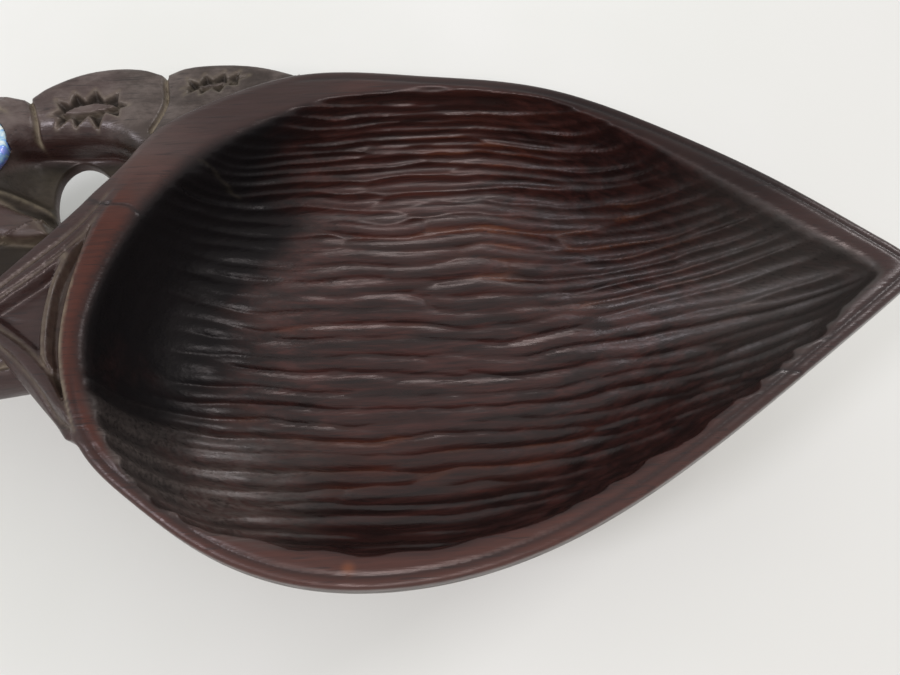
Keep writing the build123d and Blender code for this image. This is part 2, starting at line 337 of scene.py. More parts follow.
def surface_net(field, origin):
    """Closed quad mesh of the field's zero surface: points in mm, and the quads."""
    inside = field < 0
    mixed = np.zeros(tuple(n - 1 for n in field.shape), np.uint8)
    for i, j, k in CORNERS:
        mixed += inside[i:i + mixed.shape[0], j:j + mixed.shape[1], k:k + mixed.shape[2]]
    cells = np.argwhere((mixed > 0) & (mixed < 8))
    number = np.full(mixed.shape, -1, np.int32)
    number[tuple(cells.T)] = np.arange(len(cells))
    values = np.stack([field[tuple((cells + corner).T)] for corner in CORNERS], 1)
    total = np.zeros((len(cells), 3))
    count = np.zeros(len(cells))
    for a, b in CELL_EDGES:
        va, vb = values[:, a], values[:, b]
        cut = (va < 0) != (vb < 0)
        t = np.where(cut, va / np.where(cut, va - vb, 1), 0)
        total += np.where(cut[:, None], CORNERS[a] + t[:, None] * (CORNERS[b] - CORNERS[a]), 0)
        count += cut
    points = cells + total / count[:, None]
    for _ in range(2):
        value = sample(field, points)
        slope = np.stack([(sample(field, points + s) - sample(field, points - s)) / (2 * NUDGE)
                          for s in np.eye(3) * NUDGE], 1)
        step = -(value / np.maximum((slope ** 2).sum(1), 1e-6))[:, None] * slope
        points = points + np.clip(step, -NUDGE, NUDGE)
    quads = []
    for axis in range(3):
        u, v = [(1, 2), (2, 0), (0, 1)][axis]
        first = [slice(None)] * 3
        second = [slice(None)] * 3
        first[axis], second[axis] = slice(0, -1), slice(1, None)
        for side, flip in ((inside[tuple(first)] & ~inside[tuple(second)], False),
                           (~inside[tuple(first)] & inside[tuple(second)], True)):
            at = np.argwhere(side)
            at = at[(at[:, u] > 0) & (at[:, v] > 0)]
            ring = []
            for du, dv in ((-1, -1), (0, -1), (0, 0), (-1, 0)):
                cell = at.copy()
                cell[:, u] += du
                cell[:, v] += dv
                ring.append(number[tuple(cell.T)])
            ring = np.stack(ring, 1)
            quads.append(ring[:, ::-1] if flip else ring)
    return origin + points * VOXEL, np.vstack(quads)


# ---- the carving ----
def gouge_table():
    """Depth of the gouge flutes against (along, across) the inside of the bowl: many long shallow
    scoops in rows, each a little off its row, so that ridges wander, merge and split."""
    rng = np.random.default_rng(FLUTE_SEED)
    along = np.arange(TABLE_LOW, TABLE_HIGH, TABLE_STEP)
    across = np.arange(TABLE_LOW, TABLE_HIGH, TABLE_STEP)
    depth = np.full((len(along), len(across)), -1.0)
    rows = int(-TABLE_LOW / FLUTE_PITCH)
    for row in range(-rows, rows + MORE_ROWS):
        start = TABLE_LOW - 2 - rng.uniform(0, 30)
        while start < TABLE_HIGH:
            length = rng.uniform(26, 72) if row > 1 else rng.uniform(45, 95)
            middle = start + length / 2
            offset = row * FLUTE_PITCH + rng.normal(0, 0.45)
            slope = rng.normal(0, 0.014)
            bow = rng.normal(0, 0.5)
            wave = rng.uniform(0.08, 0.34) if row > 1 else rng.uniform(0.04, 0.2)
            turn = rng.uniform(0, 2 * math.pi)
            period = rng.uniform(14, 30)
            cut = FLUTE_DEPTH + rng.normal(0, 0.12)
            radius = FLUTE_RADIUS * rng.uniform(0.75, 1.5)
            t = (along - middle) / (length / 2)
            line = offset + slope * (along - middle) + bow * t * t
            line = line + wave * np.sin(turn + along * 2 * math.pi / period)
            uneven = 0.09 * np.sin(turn * 3 + along * 2 * math.pi / (period * 0.61))
            picked = np.abs(t) < 1.25
            side = np.abs(across - offset) < 6
            far = (across[None, side] - line[picked, None]) ** 2 / (2 * radius)
            scoop = (cut + uneven[picked, None]) - far - 0.9 * (t[picked, None] ** 2) ** 3
            window = np.ix_(picked, side)
            depth[window] = smooth_max(depth[window], scoop, 0.15)
            start += length * rng.uniform(0.7, 0.9)
    return along, across, np.maximum(depth, 0)


def table_value(table, along, across):
    """Depth of the gouge table at these places; past its ends it stays as it is there."""
    first, second, depth = table
    u = np.clip((along - first[0]) / TABLE_STEP, 0, len(first) - 1.001)
    v = np.clip((across - second[0]) / TABLE_STEP, 0, len(second) - 1.001)
    return bilinear(depth, u, v)


def flute_place(x, y, z):
    """(along, across) of a point on the bowl's inside. Across grows up the walls, as the way along
    the wood does, and it sways, so that the flutes aren't straight."""
    growth = 0.20 + 0.42 * smoothstep(-4, 18, y)
    growth = growth + 0.45 * smoothstep(24, 38, y) * smoothstep(18, 36, z)
    across = y * (1 + growth * np.clip(z - CAVITY_FLOOR, 0, 40) / 45)
    across = across + 2.4 * smoothstep(-32, 22, x) * smoothstep(34, 8, np.abs(y + 2))
    across = across + 0.22 * np.maximum(x - 8, 0) * smoothstep(6, 30, y)
    sway = 0.5 * np.sin(x / 6.3 + y / 9.1) + 0.4 * np.sin(x / 9.7 - y / 6.2 + 1.3)
    sway = sway + 0.25 * np.sin(x / 3.9 + y / 4.3 + 4)
    return x, across + 0.7 * sway


def flute_strength(x, y, z):
    """Flutes fade out below the rim and up the back wall. They run on to the rim in the middle of
    the far side and on most of the near side."""
    near_side = smoothstep(-3, -14, y) * np.maximum(smoothstep(-12, 8, x), smoothstep(-30, -44, x))
    lower_left = smoothstep(-6, -14, y)
    reach = 4 + 5 * smoothstep(12, 30, x)
    below_rim = smoothstep(RIM_Z - 0.5, RIM_Z - reach, z)
    back_wall = smoothstep(-60, -50, x)
    far_side = 0.85 * smoothstep(16, 28, y) * smoothstep(-40, -20, x) * smoothstep(40, 20, x)
    strength = np.maximum(np.maximum(below_rim, far_side), 0.85 * near_side)
    strength = strength * np.maximum(back_wall, lower_left)
    return (0.06 + 0.94 * strength) * (1 + 0.25 * smoothstep(0, -14, y))


def groove(distance, width, depth):
    """A V-cut of this width and depth along a line."""
    return depth * np.clip(1 - distance / (width / 2), 0, 1)


def joined(*lines):
    """One outline out of curves that start where the one before ends."""
    return np.vstack([curve(line)[:-1] for line in lines])


def lens_cut(lens, cut_outline, x, y):
    """Chip cuts, a ring of V-shaped nicks, round an almond-shaped island. Returns how deep the wood
    is cut, how much pale dust lies there, and where the nicks are, which the material darkens as painted
    shade."""
    island = outline_distance(joined(*lens), x, y)
    edge = outline_distance(np.array(cut_outline, float), x, y)
    within = np.maximum(-edge, 0)
    outside = smoothstep(-0.5, 0.1, island)
    depth = np.minimum(2.2 * within, 1.9) * outside + 0.3 * smoothstep(0.3, -0.8, island)
    dust = 0.50 * np.exp(-((edge - 0.05) / 0.24) ** 2) + 0.45 * np.exp(-((island + 0.1) / 0.24) ** 2)
    nick_shade = outside * smoothstep(0.05, 0.5, within)
    return depth, 0.85 * dust, nick_shade


def handle_top(x, y):
    """Height of the handle's upper face, the pale dust in its cuts, and the painted shade of its nicks."""
    top = np.full(x.shape, float(LOBE_Z))
    dust = np.zeros(x.shape)
    nick_shade = np.zeros(x.shape)
    for line in (GROOVE_AB, GROOVE_BC):
        d, _ = line_distance(curve(line), x, y, reach=7)
        top -= groove(d, 1.4, 1.3) + 0.5 * smoothstep(4.5, 0, d)
        dust = np.maximum(dust, np.exp(-(d / 0.34) ** 2))
    for lens, cut_outline in ((LENS_B, LENS_B_CUT), (LENS_A, LENS_A_CUT)):
        depth, dusty, nicks = lens_cut(lens, cut_outline, x, y)
        nick_shade = np.maximum(nick_shade, nicks)
        top -= depth
        dust = np.maximum(dust, 0.75 * dusty)

    # head: two ring cuts round the eye, and a fall towards the beak
    from_eye = np.hypot(x - EYE[0], y - EYE[1])
    beyond = smoothstep(-86, -92, x)
    for away, width, depth in EYE_RINGS:
        top -= groove(np.abs(from_eye - EYE_RADIUS - away), width, depth) * beyond
    inner_ring = from_eye - EYE_RADIUS - EYE_RINGS[0][0]
    dust = np.maximum(dust, np.exp(-(inner_ring / 0.5) ** 2) * beyond)
    top -= 2.6 * smoothstep(14, 24, from_eye) * smoothstep(-88, -100, x)
    return top, dust, nick_shade


def hollow_field(x, y, z3, hole):
    """Dished hollow between crest, eye and panel. Returns the field that cuts it, its dust, the
    distance from its outline, and the distance from the crest's rolled edge."""
    edge = outline_distance(curve(HOLLOW, closed=True), x, y)
    floor = HOLLOW_Z - 3.0 * smoothstep(8, -0.5, hole)
    floor = floor + 5.5 * smoothstep(-83.5, -92, x) * smoothstep(24, 36, y)
    ridge, _ = line_distance(curve(HOLLOW_RIDGE), x, y, reach=8)
    floor = floor + 1.5 * np.exp(-(ridge / 1.1) ** 2)
    dust = 0.50 * np.exp(-(ridge / 0.40) ** 2)
    lower, _ = line_distance(curve(HOLLOW_CREASE), x, y, reach=6)
    dust = np.maximum(dust, 0.4 * np.exp(-(lower / 0.5) ** 2))
    band, _ = line_distance(curve(BAND), x, y, reach=12)
    olive = 0.10 * smoothstep(12, 1, hole) * smoothstep(-92, -82, x) * smoothstep(41.5, 39, y)
    crease = (0.7 + 1.7 * smoothstep(4, 9, band))[:, :, None]
    cut = smooth_max(edge[:, :, None], floor[:, :, None] - z3, crease)
    return cut, np.maximum(dust, olive), edge, band


def lip_field(x, y, z3):
    """The almond-shaped lip that rises out of the hollow, its dust, and the distance from it."""
    edge = outline_distance(joined(LIP_UPPER, LIP_LOWER), x, y)
    height = LIP_Z + 0.5 * smoothstep(0, -2.5, edge)
    dust = 0.4 * np.exp(-((edge - 0.5) / 0.5) ** 2)
    lip = smooth_max(edge[:, :, None] + 0.15 * (z3 - LIP_Z), z3 - height[:, :, None], 1.2)
    return smooth_max(lip, UNDER_Z + 2 - z3, 1.0), dust, edge


def panel_face(x, y, panel):
    """Height and dust of the V-panel: a sunk triangle, a crescent beside the rim, and cut arms.
    `panel` is the distance from its outline."""
    face = 41.8 - 0.11 * np.clip(-66 - x, 0, 40)
    dust = np.zeros(x.shape)
    arc_out, arc_in = curve(PANEL_ARC_OUT), curve(PANEL_ARC_IN)
    crescent = outline_distance(np.vstack([arc_out[:-1], arc_in[:-1]]), x, y)
    face -= 2.1 * smoothstep(0.1, -1.3, crescent)
    dust = np.maximum(dust, 0.10 * smoothstep(0.1, -0.5, crescent))
    d_out, _ = line_distance(arc_out, x, y)
    d_in, _ = line_distance(curve(TRIANGLE_ARC), x, y)
    dust = np.maximum(dust, 0.60 * np.exp(-((d_out - 0.1) / 0.27) ** 2))
    dust = np.maximum(dust, 0.42 * np.exp(-((d_in - 0.3) / 0.27) ** 2))
    triangle = np.vstack([curve(TRIANGLE_ARC), [TRIANGLE_APEX]])
    sunk = outline_distance(triangle, x, y)
    face -= 2.5 * smoothstep(0.1, -1.7, sunk)
    for line, (width, depth) in zip(UPPER_GROOVES + LOWER_GROOVES, GROOVE_SIZES):
        d, _ = line_distance(curve(line), x, y)
        face -= groove(d, width, depth)
        dust = np.maximum(dust, 0.26 * np.exp(-(d / 0.30) ** 2))
    lower_arm = smoothstep(-1, -6, y)
    bevel = np.maximum(2.8 * lower_arm, 0.6)
    face -= 2.6 * np.clip(1 + panel / bevel, 0, 1) * lower_arm * smoothstep(-24, -18, y)
    return face, dust


def bowl_hull(x, y, z, z3):
    """Outside of the bowl: a leaf that narrows to its foot, with a bead marked off round the rim.
    Returns the hull, its side alone, the distance from the rim's edge, and the bead's line."""
    outer = curve(OUTER_RIM, closed=True)
    sharp, reach = gauge(outer, x, y)
    soft, _ = gauge(outer, x, y, blur=9)
    rho = sharp + (soft - sharp) * smoothstep(0.95, 0.6, sharp)
    width = np.interp(z, HULL_LEVELS, HULL_WIDTHS)[None, None, :]
    side = as_distance((rho[:, :, None] - width) * reach[:, :, None])
    edge = outline_distance(outer, x, y)
    marked = 1 - smoothstep(-24, -32, x) * smoothstep(-14, -6, y)
    from_bead = np.abs(edge + BEAD_INSET)
    rim_top = RIM_Z - 0.34 * marked * smoothstep(0.8, 0, from_bead)
    rim_top = rim_top - 0.3 * smoothstep(-BEAD_INSET, 0, edge)
    for line, depth in ((CRACK, 0.6), (RIM_CRACK, 0.3)):
        crack, _ = line_distance(curve(line), x, y, reach=2)
        rim_top -= groove(crack, 0.7, depth)
    hull = smooth_max(side, z3 - rim_top[:, :, None], 0.8)
    return smooth_max(hull, -z3, 0.6), side, edge, marked * np.exp(-(from_bead / 0.4) ** 2)


def bowl_cavity(x, y, z, z3):
    """Inside of the bowl, fluted by the gouge, with the gouge table and the rim's inner edge."""
    inner = curve(INNER_RIM, closed=True)
    sharp, _ = gauge(inner, x, y)
    soft, _ = gauge(inner, x, y, blur=12)
    rho = sharp + (soft - sharp) * smoothstep(0.95, 0.5, sharp)
    mouth_z = RIM_Z + 0.5
    depth = (mouth_z - z3) / (mouth_z - CAVITY_FLOOR)
    soft_tip = smoothstep(5, 65, x)
    steep = (2.6 - 1.0 * soft_tip)[:, :, None]
    flat = (2.8 - 0.9 * soft_tip)[:, :, None]
    cavity = as_distance(rho[:, :, None] ** steep + np.sign(depth) * np.abs(depth) ** flat - 1)
    near = np.nonzero(np.abs(cavity) < 3)
    px, py, pz = x[near[0], near[1]], y[near[0], near[1]], z[near[2]]
    table = gouge_table()
    flutes = table_value(table, *flute_place(px, py, pz))
    cavity[near] -= (flutes - 0.5) * flute_strength(px, py, pz)
    uneven = np.sin(px / 2.9 + 1) * np.sin(px / 7.3) + 0.6 * np.sin(px / 1.7 + 2)
    cavity[near] += 0.28 * uneven * smoothstep(-10, -20, py) * smoothstep(34, 40, pz)
    return cavity, table, inner


def beak_field(x, y, z3):
    """The beak, a rounded bar that leaves the brow and curls back to the panel, and the dust in
    the two cuts along its top."""
    away, where = line_distance(curve(BEAK_LINE), x, y)
    half = np.interp(where, np.linspace(0, 1, len(BEAK_WIDTHS)), BEAK_WIDTHS)
    tube = np.sqrt((away / half)[:, :, None] ** 2 + ((z3 - BEAK_MID_Z) / BEAK_HALF_HEIGHT) ** 2) - 1
    tube = as_distance(tube * BEAK_HALF_HEIGHT)
    from_cut = np.abs(away - 0.32 * half)
    begun = smoothstep(0.18, 0.3, where)
    cut = groove(from_cut, 1.3, 0.8) * begun
    dust = 0.8 * np.exp(-(from_cut / 0.45) ** 2) * begun
    return tube + cut[:, :, None] * (z3 > BEAK_MID_Z), dust


def handle_field(x, y, z3):
    """The handle with its hollow, lip, beak and V-panel, and its maps from above for the material."""
    plate = outline_distance(joined(LOBE_A, LOBE_B, HEAD, JAW, PLATE_UNDER_BOWL, PLATE_END), x, y)
    top, dust, nick_shade = handle_top(x, y)
    hole = outline_distance(curve(CREST_HOLE, closed=True), x, y)
    hollow, hollow_dust, hollow_edge, band = hollow_field(x, y, z3, hole)
    handle = smooth_max(plate[:, :, None] - 0.3, z3 - top[:, :, None], 0.9)
    roll = 0.7 + 6.3 * smoothstep(9, 4, band) * smoothstep(-89, -82, x)
    handle = smooth_max(handle, -hollow, roll[:, :, None])
    lip, lip_dust, lip_edge = lip_field(x, y, z3)
    handle = smooth_min(handle, lip, 0.6)
    handle = smooth_max(handle, UNDER_Z - z3, UNDER_ROUNDING)
    beak, beak_dust = beak_field(x, y, z3)
    handle = smooth_min(handle, beak, 1.6)
    handle = smooth_max(handle, -hole[:, :, None], 0.6)
    panel_edge = outline_distance(np.array(PANEL, float), x, y)
    face, panel_dust = panel_face(x, y, panel_edge)
    panel = smooth_max(panel_edge[:, :, None], z3 - face[:, :, None], 0.6)
    panel = smooth_max(panel, UNDER_Z - z3, UNDER_ROUNDING)
    handle = smooth_min(handle, panel, 0.6)

    dust = np.where(hollow_edge < 0, np.maximum(hollow_dust, lip_dust), dust)
    dust = np.maximum(dust, beak_dust * (plate > -2))
    dust = np.where(panel_edge < 0, panel_dust, dust)
    dull_hollow_and_shaded_nicks = smoothstep(0.2, -2, hollow_edge) * smoothstep(0, 1, lip_edge) * smoothstep(0, 1, panel_edge)
    # the nicks are darkened along with the hollow: painted shade
    dull_hollow_and_shaded_nicks = np.maximum(dull_hollow_and_shaded_nicks, 0.9 * nick_shade)
    polish = smoothstep(6, 3, band) * smoothstep(0.5, -0.5, hollow_edge - 3)
    return handle, {"dust": dust, "polish": polish, "dull_hollow_and_shaded_nicks": dull_hollow_and_shaded_nicks}


def eye_seat(x, y, z3):
    """What the shell ring and its peg take up in the head."""
    from_eye = np.hypot(x - EYE[0], y - EYE[1])[:, :, None]
    seat = np.maximum(from_eye - EYE_RADIUS, SHELL_LOW[2] - z3)
    peg = np.maximum(from_eye - PUPIL_RADIUS, PUPIL_LOW[2] - z3)
    return np.minimum(seat, peg)


def carve_body():
    """The whole wooden body: its points in mm, its quads, and what each point lies on, by name."""
    low = BODY_LOW - MARGIN
    steps = [np.arange(low[i], BODY_HIGH[i] + MARGIN[i], VOXEL).astype(np.float32) for i in range(3)]
    x, y = np.meshgrid(steps[0], steps[1], indexing="ij")
    z = steps[2]
    z3 = z[None, None, :]

    hull, hull_side, rim_edge, rim_mark = bowl_hull(x, y, z, z3)
    handle, plan = handle_field(x, y, z3)
    body = smooth_min(hull, handle, 0.8)
    body = np.maximum(body, -eye_seat(x, y, z3))
    cavity, table, inner = bowl_cavity(x, y, z, z3)
    rounding = 0.7 + 2.6 * smoothstep(-18, -46, x) * smoothstep(-24, -8, y)
    rounding = rounding + 2.2 * smoothstep(25, 60, x) * smoothstep(-2, 4, y)
    body = smooth_max(body, -cavity, rounding[:, :, None])
    points, quads = surface_net(body.astype(np.float32), low)

    # maps from above: dust, the cracks and the bead's line, and the inside of the bowl
    scratch, _ = line_distance(curve(SCRATCH), x, y, reach=2)
    plan["dust"] = np.maximum(plan["dust"] * (rim_edge > -0.5), 0.07 * np.exp(-(scratch / 0.20) ** 2))
    crack = np.minimum(*[line_distance(curve(line), x, y, reach=2)[0] for line in (CRACK, RIM_CRACK)])
    plan["crack"] = np.maximum(np.exp(-(crack / 0.30) ** 2), 0.6 * rim_mark)
    back_arc = smoothstep(-30, -50, x) * smoothstep(-24, -10, y)
    inside = smoothstep(1.3 + 2.0 * back_arc, 0.1, outline_distance(inner, x, y))

    # the same at each point, kept off the underside and off the outside of the hull
    cells = (points - low) / VOXEL
    u, v, _ = cells.T
    up = smoothstep(UNDER_Z + 1, UNDER_Z + 3, points[:, 2])
    marks = {name: bilinear(plan[name], u, v) * up for name in ("dust", "crack", "polish", "dull_hollow_and_shaded_nicks")}
    within = smoothstep(-0.4, -1.4, sample(hull_side, cells))
    marks["inside"] = bilinear(inside, u, v) * (points[:, 2] > CAVITY_FLOOR - 1.5) * within
    flute = table_value(table, *flute_place(*points.T))
    marks["flute"] = SMOOTH_FLUTE + (flute - SMOOTH_FLUTE) * flute_strength(*points.T)
    return points, quads, marks


def new_mesh(name, points, faces):
    mesh = bpy.data.meshes.new(name)
    mesh.from_pydata([], [], [])
    mesh.vertices.add(len(points))
    mesh.vertices.foreach_set("co", (points * MM).astype(np.float32).ravel())
    mesh.loops.add(faces.size)
    mesh.loops.foreach_set("vertex_index", faces.astype(np.int32).ravel())
    mesh.polygons.add(len(faces))
    mesh.polygons.foreach_set("loop_start", np.arange(0, faces.size, faces.shape[1], dtype=np.int32))
    mesh.polygons.foreach_set("use_smooth", np.ones(len(faces), bool))
    mesh.update(calc_edges=True)
    mesh.validate()
    obj = bpy.data.objects.new(name, mesh)
    bpy.context.scene.collection.objects.link(obj)
    return obj


class Nodes:
    """Short forms for building a node material."""

    def __init__(self, name):
        self.material = bpy.data.materials.new(name)
        self.material.use_nodes = True
        self.tree = self.material.node_tree
        self.shader = self.tree.nodes["Principled BSDF"]

    def link(self, source, target):
        self.tree.links.new(source, target)

    def add(self, kind, inputs=None, **settings):
        """A node with these settings, each input fed from a socket or set to a value."""
        node = self.tree.nodes.new(kind)
        for key, value in settings.items():
            setattr(node, key, value)
        for key, value in (inputs or {}).items():
            if isinstance(value, bpy.types.NodeSocket):
                self.link(value, node.inputs[key])
            else:
                node.inputs[key].default_value = value
        return node

    def math(self, operation, a, b=0.0, clamp=False):
        return self.add("ShaderNodeMath", {0: a, 1: b}, operation=operation, use_clamp=clamp).outputs[0]

    def times(self, first, *others):
        for value in others:
            first = self.math("MULTIPLY", first, value)
        return first

    def plus(self, a, b):
        return self.math("ADD", a, b)

    def minus(self, a, b):
        return self.math("SUBTRACT", a, b)

    def most(self, a, b):
        return self.math("MAXIMUM", a, b)

    def attribute(self, name):
        return self.add("ShaderNodeAttribute", attribute_name=name).outputs["Fac"]

    def coordinate(self):
        return self.add("ShaderNodeTexCoord").outputs["Object"]

    def position(self):
        return self.add("ShaderNodeSeparateXYZ", {0: self.coordinate()}).outputs

    def noise(self, scale, detail, stretch=(1, 1, 1), shift=(0, 0, 0), roughness=0.5, distortion=0.0):
        """Noise that a stretch below 1 draws out along that axis."""
        place = self.add("ShaderNodeMapping", {
            "Vector": self.coordinate(), "Scale": stretch, "Location": shift}).outputs["Vector"]
        return self.add("ShaderNodeTexNoise", {
            "Vector": place, "Scale": scale, "Detail": detail, "Roughness": roughness,
            "Distortion": distortion}).outputs["Fac"]

    def span(self, value, low, high, out_low=0.0, out_high=1.0):
        """Smooth step of the value between low and high, as a number between the two outer ones."""
        return self.add("ShaderNodeMapRange", {
            "Value": value, "From Min": low, "From Max": high, "To Min": out_low, "To Max": out_high},
            interpolation_type="SMOOTHSTEP").outputs["Result"]

    def mix(self, factor, a, b):
        node = self.add("ShaderNodeMix", {"Factor": factor, "A": a, "B": b}, data_type="RGBA")
        return node.outputs["Result"]

    def layers(self, colour, *coats):
        """The colour under coats of (share, colour), the first one lowest."""
        for share, coat in coats:
            colour = self.mix(share, colour, coat)
        return colour

    def spot(self, middle, full, edge):
        """1 within `full` of a place seen from above, falling to 0 at `edge`."""
        x, y, _ = self.position()
        away = [self.math("POWER", self.minus(a, m), 2.0) for a, m in zip((x, y), middle)]
        return self.span(self.math("SQRT", self.plus(*away)), edge, full)

    def bump(self, height, strength, distance, below=None):
        node = self.add("ShaderNodeBump", {"Strength": strength, "Distance": distance, "Height": height})
        if below is not None:
            self.link(below, node.inputs["Normal"])
        return node.outputs["Normal"]


class Wood(Nodes):
    """The wood's material, with the mesh's marks, the noises and the regions that its parts share."""

    def __init__(self):
        super().__init__("carved_wood")
        self.x, self.y, self.z = self.position()
        self.dust, self.flute, self.inside, self.crack, self.polish, self.dull_hollow_and_shaded_nicks = (
            self.attribute(name) for name in ("dust", "flute", "inside", "crack", "polish", "dull_hollow_and_shaded_nicks"))

        # the grain runs along X; only the specks of the dust don't
        self.streak = self.noise(420, 5, (0.10, 1, 1), roughness=0.6, distortion=0.4)
        self.broad = self.noise(38, 3, (0.45, 1, 1))
        self.patch = self.noise(70, 4, (0.30, 1, 1), (0.4, 0.1, 0), distortion=0.6)
        self.pores = self.noise(2400, 2, (0.05, 1, 1), (0.1, 0.3, 0))
        self.speck = self.noise(700, 3)
        self.grain = self.noise(1300, 5, (0.07, 1, 1), (0.2, 0.2, 0), roughness=0.65, distortion=0.3)

        # the black back wall, which reaches further in on the +Y side, and three duller places
        back = self.plus(self.x, self.span(self.broad, 0.3, 0.7, -0.009, 0.009))
        lean = self.times(self.most(self.minus(self.y, 0.008), 0.0), 0.8)
        self.back_black = self.span(self.minus(back, lean), -0.043, -0.059, 0.0, 0.98)
        self.quiet = self.times(self.span(self.x, 0.012, 0.040), self.span(self.y, 0.006, 0.020))
        self.far_rim = self.times(self.span(self.y, 0.010, 0.020), self.span(self.x, 0.005, 0.030))
        back_arc = self.times(self.span(self.x, -0.054, -0.061, 0.0, 0.8), self.span(self.y, 0.034, 0.022))
        self.arc_strip = self.times(back_arc, self.spot((-0.0246, 0.001), 0.0430, 0.0442))


def inner_colour(n):
    """Inside of the bowl: brown to red, redder on the far wall, almost black at the back, with painted
    amber glints on the crests.
    """
    # red lies on the ridges, less of it towards the tip and the rim
    ridge = n.span(n.flute, 0.62, 0.30)
    far_wall = n.times(n.span(n.y, 0.0, 0.032), n.span(n.x, 0.032, 0.005))
    warm = n.plus(n.span(n.patch, 0.43, 0.64, 0.0, 0.72), n.times(far_wall, 0.22))
    warm = n.math("MULTIPLY", warm, n.plus(n.times(ridge, 0.7), 0.3), clamp=True)
    tip_wall = n.times(n.span(n.x, 0.022, 0.045, 1.0, 0.25), n.span(n.grain, 0.3, 0.65, 0.55, 1.15))
    warm = n.math("MULTIPLY", warm, tip_wall, clamp=True)
    low_wall = n.span(n.z, 0.032, 0.023)
    warm = n.times(warm, n.plus(n.times(low_wall, 0.6), 0.4))

    # painted highlight: amber glints on the crests of the lower walls, strongest on the lit +Y side
    crest = n.times(n.span(n.flute, 0.42, 0.20), low_wall)
    painted_crest_glint = n.times(crest, n.span(n.patch, 0.46, 0.60), n.span(n.grain, 0.36, 0.56))
    lit = n.times(n.span(n.y, 0.004, 0.016), n.span(n.x, -0.03, 0.01))
    painted_crest_glint = n.times(painted_crest_glint, n.plus(n.times(lit, 0.45), 0.26))

    greyed = n.times(n.span(n.y, -0.010, -0.024), n.span(n.x, -0.022, -0.040))
    greyed = n.times(greyed, n.span(n.grain, 0.35, 0.65, 0.16, 0.42))
    greyed = n.times(greyed, n.span(n.flute, 0.9, 0.2, 0.35, 1.0))
    # towards the tip a grey coat stands for dust and, in part, a painted sheen
    return n.layers(
        n.mix(n.span(n.streak, 0.35, 0.68), INNER_DARK, INNER_BROWN), (warm, INNER_RED), (painted_crest_glint, AMBER),
        (n.span(n.grain, 0.38, 0.66, 0.0, 0.5), INNER_DARK), (n.back_black, NEAR_BLACK), (greyed, WORN),
        (n.times(n.quiet, 0.5), INNER_DARK), (n.span(n.x, 0.038, 0.066, 0.0, 0.75), TIP_DUST_AND_SHEEN))


def outer_colour(n):
    """Rim, handle and hull: purple-brown, redder in places, greyed where the wood is worn."""
    reddish = n.most(n.span(n.broad, 0.5, 0.72, 0.0, 0.5), n.span(n.y, -0.015, -0.045, 0.0, 0.45))
    reddish = n.most(reddish, n.arc_strip)
    reddish = n.most(reddish, n.times(n.spot((-0.0565, 0.0284), 0.002, 0.009), 0.35))
    side = n.times(n.span(n.z, 0.0412, 0.0396), n.span(n.x, -0.070, -0.062))

    # the handle's top is worn in a thin veil, and its lobes in scuffs
    veil = n.times(n.span(n.x, -0.040, -0.066), n.span(n.broad, 0.3, 0.7, 0.05, 0.26))
    veil = n.times(veil, n.minus(1.0, n.polish), n.span(n.y, 0.015, 0.040))
    lobes = n.times(n.span(n.y, 0.040, 0.046), n.span(n.z, 0.033, 0.036))
    lobes = n.times(n.span(n.z, 0.0412, 0.0400), lobes)
    scuff = n.noise(230, 6, (0.6, 1, 1), (0.3, 0.2, 0), roughness=0.7)
    scuffed = n.times(lobes, n.span(scuff, 0.36, 0.70, 0.03, 0.38))
    amber = n.times(n.spot((-0.019, -0.0453), 0.0, 0.0017), n.span(n.z, 0.038, 0.041, 0.0, 0.6))
    # the hollow's dull olive coat also paints shade into the chip-cut nicks
    return n.layers(
        n.mix(n.span(n.streak, 0.3, 0.7), OUTER_PURPLE, OUTER_BROWN), (reddish, OUTER_RED),
        (n.span(n.grain, 0.40, 0.68, 0.0, 0.35), INNER_DARK), (n.times(side, 0.75), HULL_OLIVE),
        (n.times(n.far_rim, 0.85), INNER_DARK), (n.times(n.arc_strip, 0.3), INNER_DARK),
        (veil, WORN), (scuffed, WORN), (n.times(n.dull_hollow_and_shaded_nicks, 0.85), NICK_SHADE_AND_HOLLOW_OLIVE), (amber, AMBER))


def wood_roughness(n, dusty):
    """Satin: rougher near the tip, in the hollow and under dust, smoother on the crest's roll."""
    rough = n.plus(n.span(n.broad, 0.3, 0.7, 0.26, 0.34), n.span(n.streak, 0.3, 0.7, 0.0, 0.08))
    rough = n.plus(rough, n.times(n.span(n.x, 0.03, 0.07, 0.0, 0.12), n.inside))
    rough = n.minus(rough, n.times(n.polish, 0.06))
    for more in (n.times(dusty, 0.45), n.times(n.dull_hollow_and_shaded_nicks, 0.2), n.span(n.grain, 0.35, 0.65, -0.05, 0.04)):
        rough = n.math("ADD", rough, more, clamp=True)
    return rough


def wood_specular(n):
    """How much the wood shines: least on the black wall and in the hollow."""
    duller = n.most(n.times(n.back_black, n.inside, 0.34), n.times(n.dull_hollow_and_shaded_nicks, 0.25))
    quieter = n.times(n.most(n.arc_strip, n.most(n.quiet, n.far_rim)), 0.20)
    return n.minus(0.46, n.most(duller, quieter))


